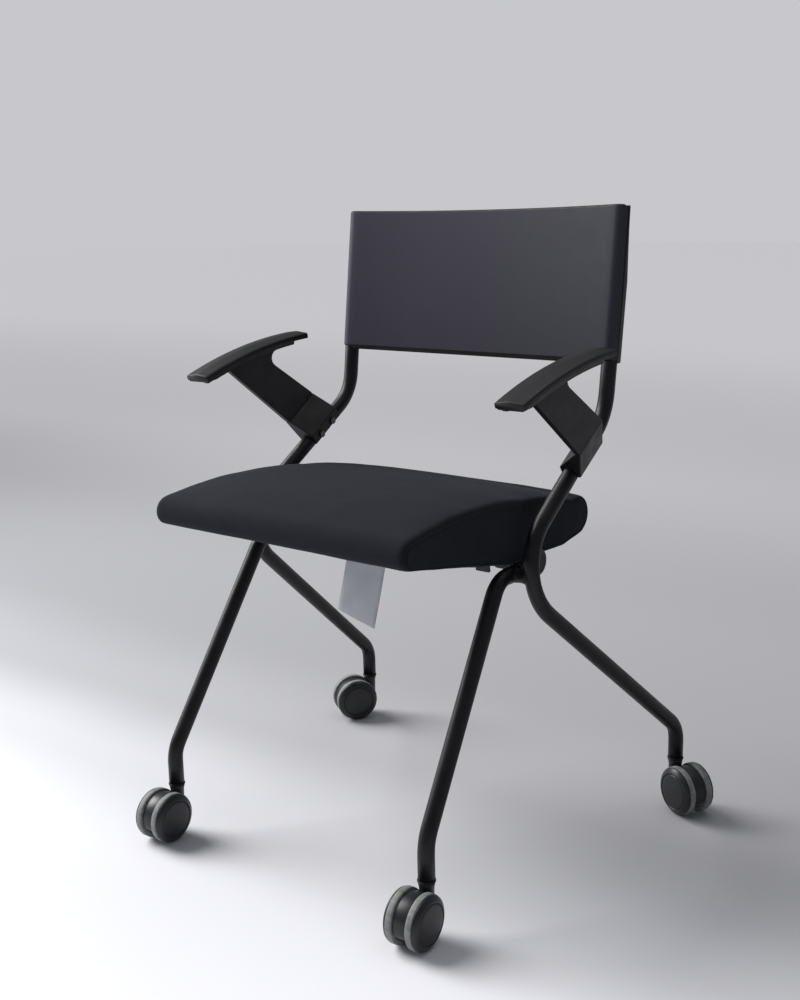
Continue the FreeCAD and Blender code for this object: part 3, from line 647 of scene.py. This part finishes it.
def arm_pad_rings():
    """Crowned pad with soft long edges and a squared front end."""
    half = (PAD_X[1] - PAD_X[0]) / 2
    middle = (PAD_X[1] + PAD_X[0]) / 2
    line = [point for point in arc_points(PAD_FRONT, PAD_MID, PAD_BACK, 64) if point.x < PAD_END_Y]
    section = rounded([(-half, -PAD_THICK), (half, -PAD_THICK), (half, -1.6), (0.0, 0.6), (-half, -1.6)],
                      [1.2, 1.2, 3.4, 30.0, 3.4], 7)
    rings = []
    total = len(line) - 1
    for index, point in enumerate(line):
        ahead = (line[min(index + 1, total)] - line[max(index - 1, 0)]).normalized()
        normal = Vector((-ahead.y, ahead.x))
        rings.append([vec(middle + a, point.x + normal.x * b, point.y + normal.y * b) for a, b in section])
    for index, along in ((0, 1), (-1, -1)):
        at = line[index]
        ahead = (line[1] - line[0]).normalized() if index == 0 else (line[-1] - line[-2]).normalized()
        normal = Vector((-ahead.y, ahead.x))
        ends = []
        for inset, share in ((0.0, 0.985), (0.3, 1.0)):
            ring = []
            for a, b in section:
                flat = at + ahead * along * inset
                lift = -PAD_THICK / 2 + (b + PAD_THICK / 2) * (share - 0.04)
                ring.append(vec(middle + a * share, flat.x + normal.x * lift, flat.y + normal.y * lift))
            ends.append(ring)
        if index == 0:
            moved = [[vec(p.x, p.y + ahead.x * 1.0, p.z + ahead.y * 1.0) for p in rings[0]]]
            rings = ends + moved + rings[1:]
        else:
            moved = [[vec(p.x, p.y - ahead.x * 1.0, p.z - ahead.y * 1.0) for p in rings[-1]]]
            rings = rings[:-1] + moved + ends[::-1]
    return rings


def tube_frame():
    """Point on the slanted tube at the clamp, the tube's direction, and up square to it."""
    start = KNEE + (SHOULDER - KNEE) * ((CLAMP_Z - KNEE.z) / (SHOULDER.z - KNEE.z))
    along = (SHOULDER - KNEE).normalized()
    return start, along, ACROSS.cross(along).normalized()


def saddle_point(x, height, share=0.0):
    """Point of the saddle: height square to the tube, share from its lower to its upper end."""
    start, along, up = tube_frame()
    run = CLAMP_LOW + share * CLAMP_LONG
    return vec(x, start.y + along.y * run + up.y * height, start.z + along.z * run + up.z * height)


def bracket_outline():
    """Side view of the arm's plate and of the base under the pad, as one outline."""
    low_front, low_back = saddle_point(0, CLAMP_RISE), saddle_point(0, CLAMP_RISE, 1.0)
    down = Vector((math.cos(PLATE_SLOPE), -math.sin(PLATE_SLOPE)))
    under, base = arch(PAD_THICK), arch(PAD_THICK + BASE_THICK)
    square = Vector((math.sin(PLATE_SLOPE), math.cos(PLATE_SLOPE)))
    front = Vector((low_front.y, low_front.z))
    front_top = front - down * ((front.x - PLATE_FRONT_Y) / down.x)
    rear_run = front_top + square * PLATE_DEEP
    rear_top = rear_run
    for step in range(400):
        rear_top = rear_run + down * (step * 0.5 - 60.0)
        if rear_top.y < at_y(base, rear_top.x).y:
            break
    end_y = BASE_END_Y
    roof = [at_y(under, y) for y in (end_y, 20.0, -5.0, -30.0, -55.0, -80.0, -100.0)]
    nose = [at_y(under, -121.0), at_y(base, -116.0), at_y(base, -95.0)]
    points = [at_y(base, end_y)] + roof + nose + [at_y(base, PLATE_FRONT_Y - 2.0)]
    points += [front, Vector((low_back.y, low_back.z)), rear_top]
    radii = [1.0, 1.0] + [60.0] * (len(roof) - 1) + [1.0, 1.0, 60.0, 5.0, 2.0, 2.0, 11.0]
    return rounded(points, radii)


def arm_bracket(word, turn_over):
    outline = bracket_outline()
    rings = [[vec(x, y, z) for y, z in outline] for x in PLATE_X]
    plate = loft("arm_plate_" + word, turn_over(rings), "chair_frame", [ARM],
                 ["arm_bracket_" + word])
    bevelled(plate, 0.9)

    inset = 2.0
    under, base = arch(PAD_THICK - 0.4, BASE_END_Y), arch(PAD_THICK + BASE_THICK, BASE_END_Y)
    rings = []
    for index, (top, bottom) in enumerate(zip(under, base)):
        share = min(1.0, 0.35 + index / 6)
        low = top.lerp(bottom, share)
        section = [(PAD_X[0] + inset, top), (PAD_X[1] - inset, top), (PAD_X[1] - inset - 1.5, low),
                   (PAD_X[0] + inset + 1.5, low)]
        rings.append([vec(x, point.x, point.y) for x, point in section])
    strip = loft("arm_base_" + word, turn_over(rings), "chair_frame", [ARM])
    bevelled(strip, 0.7)

    outer, inner = tube_frame()[0].x + TUBE_R + CLAMP_WALL, tube_frame()[0].x - TUBE_R - CLAMP_WALL
    section = [(PLATE_X[1], CLAMP_RISE), (outer, -CLAMP_SKIRT), (inner, -CLAMP_SKIRT), (inner, TUBE_R),
               (PLATE_X[0], CLAMP_RISE)]
    rings = [[saddle_point(x, height, share) for x, height in section] for share in (0.0, 1.0)]
    saddle = loft("arm_saddle_" + word, turn_over(rings), "chair_frame", [ARM])
    bevelled(saddle, 1.2)


def arms():
    pad = arm_pad_rings()
    for word, turn_over in (("left", list), ("right", mirror_rings)):
        loft("armrest_" + word, turn_over(pad), "chair_frame", [ARM], ["arm_pad_" + word])
        arm_bracket(word, turn_over)


# back

def shell():
    """Hollowed panel, wrapped round both uprights, with a rolled lip, a hem and rounded top corners."""
    half = SLEEVE_FOOT.x
    hollow_r = (half ** 2 + SHELL_HOLLOW ** 2) / (2 * SHELL_HOLLOW)
    up = vec(0, math.sin(LEAN), math.cos(LEAN))
    back = vec(0, math.cos(LEAN), -math.sin(LEAN))
    front = TUBE_R + SLEEVE_WALL
    foot = vec(0, SLEEVE_FOOT.y - front, SHELL_BOTTOM_Z) + back * SHELL_HOLLOW
    centre = foot - back * hollow_r
    thick, high, corner_r = SHELL_THICK, SHELL_HIGH, 6.0
    section = rounded([(HEM_DEEP, 0.0), (0.0, HEM_DEEP), (0.0, high), (LIP_DEEP, high),
                       (LIP_DEEP, high - 0.8 * thick), (thick, high - 1.4 * thick),
                       (thick, HEM_DEEP + 0.4 * thick), (HEM_DEEP + 0.8 * thick, 0.4 * thick)],
                      [1.0, 2.0, 3.2, 1.2, 1.0, 3.0, 2.5, 1.0])
    last = half - front * half / hollow_r

    def ring(x, turn=0.0):
        """Section at x, turned back round the upright by some degrees."""
        spin = Quaternion(up, math.asin(x / hollow_r))
        pivot = centre + spin @ (foot + back * front - centre)
        wrap = Quaternion(up, -math.copysign(math.radians(turn), x))
        into = max(0.0, turn - 60.0) / 28.0
        drop = corner_r * (1 - math.sqrt(max(0.0, 1 - into ** 2)))
        lowered = [(a, b - (drop if b > high / 2 else 0.0)) for a, b in section]
        return [pivot + wrap @ (centre + spin @ (foot + back * a + up * b - centre) - pivot)
                for a, b in lowered]

    turns = (12, 24, 36, 48, 60, 68, 75, 81, 85, 88)
    rings = [ring(-last, turn) for turn in reversed(turns)]
    rings += [ring(last * (step / 24 - 1)) for step in range(49)]
    rings += [ring(last, turn) for turn in turns]
    faces = loft_faces(len(rings), len(section))
    # painted shade: every face but the front face and its rounding takes the dark plastic, darkening the hem
    # and lip bands
    front_face = 2 * CORNER_POINTS - 1
    dark = [0 if front_face - 3 < index % len(section) < front_face + 2 else 1 for index in range(len(faces))]
    new_piece("back_panel", [point for ring in rings for point in ring], faces, "chair_frame",
              [SHELL, DARK_PLASTIC_AND_PAINTED_SHADE], ["back_shell"], dark)
    for word, turn_over in (("left", list), ("right", mirror_rings)):
        loft("back_sleeve_" + word, turn_over(sleeve_rings()), "chair_frame", [ARM])


def sleeve_rings():
    """Cover over an upright, behind the panel: as deep as the tube at the seam, thin at the top."""
    outer = TUBE_R + SLEEVE_WALL - 0.3
    inner_front, outer_front = 8.0, 0.5
    high = SHELL_HIGH / math.cos(LEAN) - 4.0
    stations = [(0.0, outer - 0.8, outer - 0.8), (1.0, outer, outer), (100.0, outer, outer),
                (135.0, 7.0, outer * 0.99), (165.0, 3.0, outer * 0.98), (high - 2.0, 1.5, outer * 0.96),
                (high, 1.2, outer * 0.94)]
    rings = []
    for up, rear, half in stations:
        centre = SLEEVE_FOOT + UPRIGHT * up
        corner = min(half, (outer_front + inner_front) / 2 + rear) * 0.8
        section = rounded([(-half, -inner_front), (half, -outer_front), (half, rear), (-half, rear)],
                          [2.0, 0.2, corner, corner], 7)
        rings.append([centre + vec(a, b, 0) for a, b in section])
    return rings


# casters, in their own frame: stem on the Z axis, wheels trailing towards +X

def placed(rings, place):
    side, end, angle = place
    spin = Quaternion(UP, math.radians(angle))
    shift = vec(side * (FRONT_STEM_X if end < 0 else REAR_STEM_X), end * STEM_Y, 0)
    return [[spin @ point + shift for point in ring] for ring in rings]


TYRE = [(9.3, 27.0), (9.3, 31.2), (9.7, 32.1), (10.5, WHEEL_R), (13.5, WHEEL_R), (17.6, WHEEL_R),
        (18.3, 32.3), (18.6, 31.8), (18.6, 27.0)]
HUB = [(9.5, 3.4), (9.5, 8.0), (10.6, 8.6), (10.6, 25.5), (9.6, 26.2), (9.6, 27.4),
       (18.2, 27.6), (18.6, 31.2), (19.0, 31.8), (19.8, 31.9), (21.4, 31.2), (23.4, 29.1),
       (25.0, 26.6), (25.6, 25.3), (25.7, 24.6), (25.5, 24.2), (24.8, 24.0), (24.4, 23.8),
       (24.4, 23.4), (24.8, 23.2), (25.4, 22.9), (25.7, 22.2), (26.0, 18.0), (26.4, 9.0),
       (26.5, 0.02)]


def squeezed(profile):
    """The wheel's profile, narrowed to the photo's wheels from its inner face outwards."""
    return [(WHEEL_INNER + (along - WHEEL_INNER) * WHEEL_SQUEEZE, radius) for along, radius in profile]


def caster(name, place):
    body = "caster_" + name
    hub = vec(TRAIL, 0, WHEEL_R)
    for letter, side in (("a", 1), ("b", -1)):
        wheel_body = "wheel_%s_%s" % (name, letter)
        along = vec(0, side, 0)
        tyre, rim = (placed(lathe_rings(squeezed(profile), hub, along, 72), place) for profile in (TYRE, HUB))
        loft("tyre_%s_%s" % (name, letter), tyre, wheel_body, [TREAD],
             ["caster_wheel_%s_%s" % (name, letter)], (False, False))
        loft("hub_%s_%s" % (name, letter), rim, wheel_body, [CASTER], (), (False, True))

    neck_top = TUBE_END_Z - COLLAR_HIGH - 0.3
    fender = []
    start, stop = math.radians(150.0), math.radians(-22.0)
    for step in range(29):
        angle = start + (stop - start) * step / 28
        way = vec(math.cos(angle), 0, math.sin(angle))
        end = 1.0 if 0 < step < 28 else 0.9
        low, high = HOOD_R - 14.0, HOOD_R
        if step in (0, 28):
            low, high = low + 0.8, high - 0.8
        section = rounded([(-HOOD_HALF * end, low), (HOOD_HALF * end, low), (HOOD_HALF * end, high),
                           (-HOOD_HALF * end, high)], [0.6, 0.6, 1.2, 1.2], 3)
        fender.append([hub + vec(0, a, 0) + way * b for a, b in section])
    loft("fender_" + name, placed(fender, place), body, [CASTER], ["caster_hood_" + name])
    web = lathe_rings([(-5.0, 0.5), (-5.0, 19.0), (5.0, 19.0), (5.0, 0.5)], hub, vec(0, 1, 0), 40)
    loft("web_" + name, placed(web, place), body, [DARK_PLASTIC_AND_PAINTED_SHADE])
    axle = lathe_rings([(-AXLE_HALF, 0.3), (-AXLE_HALF, AXLE_R), (AXLE_HALF, AXLE_R), (AXLE_HALF, 0.3)], hub,
                       vec(0, 1, 0), 24)
    loft("axle_" + name, placed(axle, place), body, [STEEL], ["caster_axle_" + name])
    neck = [(0.0, 7.4), (1.2, 8.6), (neck_top - 36.0 - 7.0, 8.8), (neck_top - 36.0 - 3.0, 9.6),
            (neck_top - 36.0 - 1.0, 10.0), (neck_top - 36.0, 9.6), (neck_top - 36.0, 5.6)]
    loft("neck_" + name, placed(lathe_rings(neck, vec(0, 0, 36.0), UP), place), body,
         [CASTER], (), (True, False))
    collar = [(0.0, 5.6), (0.0, COLLAR_R - 0.7), (0.5, COLLAR_R), (1.1, COLLAR_R), (1.3, COLLAR_R - 0.5),
              (1.5, COLLAR_R), (COLLAR_HIGH - 0.4, COLLAR_R), (COLLAR_HIGH, COLLAR_R - 0.5),
              (COLLAR_HIGH, 5.0)]
    replaced = ["caster_stems"] if name == "front_left" else []
    loft("collar_" + name, placed(lathe_rings(collar, vec(0, 0, TUBE_END_Z - COLLAR_HIGH), UP), place),
         "chair_frame", [DARK_PLASTIC_AND_PAINTED_SHADE], replaced)
    pin = lathe_rings([(0.0, 0.3), (0.0, 5.5), (24.0, 5.5), (24.0, 0.3)], vec(0, 0, 44.0), UP, 24)
    loft("pin_" + name, placed(pin, place), "chair_frame", [STEEL])


# strip

def strip():
    """Blank milky strip that hangs under the seat, slightly curled."""
    down = vec(-math.sin(TAG_TILT), 0, -math.cos(TAG_TILT))
    across = vec(math.cos(TAG_TILT), 0, -math.sin(TAG_TILT))
    top_z = SEAT_BASE_Z - 0.8
    rows, columns = 24, 12
    points, faces = [], []
    for row in range(rows + 1):
        share = row / rows
        for column in range(columns + 1):
            side = (column / columns - 0.5) * TAG_WIDE
            level = side * math.tan(TAG_TILT)
            run = level + share * (TAG_LONG - level)
            curl = 0.8 * math.sin(math.pi * share) + 1.0 * share ** 2 * (2 * column / columns - 1) ** 2
            points.append(vec(TAG_X, TAG_Y + 0.25 + curl, top_z) + down * run + across * side)
    for row in range(rows):
        for column in range(columns):
            first = row * (columns + 1) + column
            faces.append((first, first + 1, first + columns + 2, first + columns + 1))
    piece = new_piece("blank_strip", points, faces, "hanging_strip", [STRIP],
                      ["hanging_tag"])
    thick = piece.modifiers.new("thickness", "SOLIDIFY")
    thick.thickness = 0.4 * MM
    settle(piece)


# stage, light and camera

FLOOR_COLOR, FLOOR_SIZE = (0.8, 0.8, 0.82), 60.0
# the floor's grey levels are painted light: a pool of light before the chair, painted shade behind it and to
# the right
FLOOR_DEEP_WAY, FLOOR_DEEP_RANGE = (-0.056, 1.255), (-0.63, 8.37)
FLOOR_ASIDE_WAY, FLOOR_ASIDE_RANGE = (0.77, 0.64), (-0.2, 1.3)
FLOOR_ASIDE_PAINTED_SHADE, FLOOR_ASIDE_FADE = 0.13, (1.5, 6.5)
FLOOR_TINT = (0.985, 0.985, 1.03)
FLOOR_PAINTED_LIGHT = ((0.0, 0.92), (0.035, 0.89), (0.062, 0.72), (0.095, 0.49), (0.14, 0.41), (0.22, 0.44),
                (0.40, 0.57), (1.0, 0.672))
FILL_COLOR, FILL_STRENGTH = (0.86, 0.88, 0.95, 1.0), 0.25
BACKDROP_COLOR = (0.575, 0.575, 0.60, 1.0)
KEY_COLOR, KEY_STRENGTH, KEY_ANGLE, KEY_WAY = (1.0, 0.99, 0.97), 3.1, math.radians(40.0), (1.15, 0.22, -1.0)
EYE = vec(1034.3, -1252.9, 792.9)
AZIMUTH, PITCH, ROLL = math.radians(39.78), math.radians(12.42), math.radians(-1.29)
LENS, SENSOR = 46.15, 36.0


def stage():
    """Pale floor with painted shade away from the viewer and to the right, and a plain pale backdrop."""
    bpy.ops.mesh.primitive_plane_add(size=FLOOR_SIZE, location=(0, 0, 0))
    floor = bpy.context.object
    floor.name = "floor"
    look = Look("floor", FLOOR_COLOR, 0.95, Specular_IOR_Level=0.1)
    floor.data.materials.append(look.material)
    split = look.add("ShaderNodeSeparateXYZ", {0: look.place})

    def run_along(way):
        return look.math("ADD", look.math("MULTIPLY", split.outputs[0], way[0]),
                         look.math("MULTIPLY", split.outputs[1], way[1]))

    # painted light along the depth run: white near the viewer, greyer further back
    deep = run_along(FLOOR_DEEP_WAY)
    cloud = look.math("ADD", deep, look.math("MULTIPLY", look.noise(1.1, 2.0), 0.16))
    ramp = look.add("ShaderNodeValToRGB", {0: look.spread(cloud, *FLOOR_DEEP_RANGE)})
    ramp.color_ramp.interpolation = "EASE"
    while len(ramp.color_ramp.elements) < len(FLOOR_PAINTED_LIGHT):
        ramp.color_ramp.elements.new(0.5)
    for element, (place, shade) in zip(ramp.color_ramp.elements, FLOOR_PAINTED_LIGHT):
        element.position = place
        element.color = (*(shade * tint for tint in FLOOR_TINT), 1.0)
    # painted shade to the right, fading out further back
    aside = look.spread(run_along(FLOOR_ASIDE_WAY), *FLOOR_ASIDE_RANGE, 0.0, FLOOR_ASIDE_PAINTED_SHADE)
    shade = look.math("MULTIPLY", aside, look.spread(deep, *FLOOR_ASIDE_FADE, 1.0, 0.0))
    look.color_over(shade, ramp.outputs[0], (0.0, 0.0, 0.0))

    world = bpy.data.worlds.new("studio")
    bpy.context.scene.world = world
    world.use_nodes = True
    tree = world.node_tree
    fill = tree.nodes["Background"]
    fill.inputs["Color"].default_value = FILL_COLOR
    fill.inputs["Strength"].default_value = FILL_STRENGTH
    seen = tree.nodes.new("ShaderNodeBackground")
    seen.inputs["Color"].default_value = BACKDROP_COLOR
    mix = tree.nodes.new("ShaderNodeMixShader")
    ray = tree.nodes.new("ShaderNodeLightPath")
    tree.links.new(ray.outputs["Is Camera Ray"], mix.inputs[0])
    tree.links.new(fill.outputs[0], mix.inputs[1])
    tree.links.new(seen.outputs[0], mix.inputs[2])
    tree.links.new(mix.outputs[0], tree.nodes["World Output"].inputs["Surface"])


def soft_light(name, at, toward, width, height, watts, color):
    data = bpy.data.lights.new(name, "AREA")
    data.shape = "RECTANGLE"
    data.size, data.size_y = width, height
    data.energy = watts
    data.color = color
    lamp = bpy.data.objects.new(name, data)
    bpy.context.scene.collection.objects.link(lamp)
    lamp.location = at
    lamp.rotation_euler = (Vector(toward) - Vector(at)).to_track_quat("-Z", "Y").to_euler()


def lights():
    data = bpy.data.lights.new("key", "SUN")
    data.energy = KEY_STRENGTH
    data.angle = KEY_ANGLE
    data.color = KEY_COLOR
    key = bpy.data.objects.new("key", data)
    bpy.context.scene.collection.objects.link(key)
    key.rotation_euler = Vector(KEY_WAY).to_track_quat("-Z", "Y").to_euler()
    soft_light("left_box", (-2.2, -0.6, 1.3), (0, 0, 0.5), 0.9, 1.8, 30.0, (0.95, 0.97, 1.0))
    soft_light("top_box", (0.2, 0.6, 2.6), (0, 0, 0.4), 2.0, 1.4, 9.0, (1.0, 1.0, 1.0))


def camera():
    """The photograph's camera, solved from the frame's straight runs and the wheels' contacts."""
    back = vec(math.sin(AZIMUTH) * math.cos(PITCH), -math.cos(AZIMUTH) * math.cos(PITCH), math.sin(PITCH))
    right = UP.cross(back).normalized()
    over = back.cross(right)
    turned_right = right * math.cos(ROLL) + over * math.sin(ROLL)
    turned_up = over * math.cos(ROLL) - right * math.sin(ROLL)
    data = bpy.data.cameras.new("camera")
    data.lens = LENS
    data.sensor_width = SENSOR
    data.clip_end = 200.0
    eye = bpy.data.objects.new("camera", data)
    bpy.context.scene.collection.objects.link(eye)
    facing = Matrix((turned_right, turned_up, back)).transposed().to_4x4()
    eye.matrix_world = Matrix.Translation(EYE * MM) @ facing
    bpy.context.scene.camera = eye


camera()
stage()
lights()
dress_nodes()
tubes()
bridges_and_knuckles()
cushion()
arms()
shell()
for caster_name, caster_place in CASTERS.items():
    caster(caster_name, caster_place)
strip()

bpy.context.scene.view_settings.view_transform = "Standard"
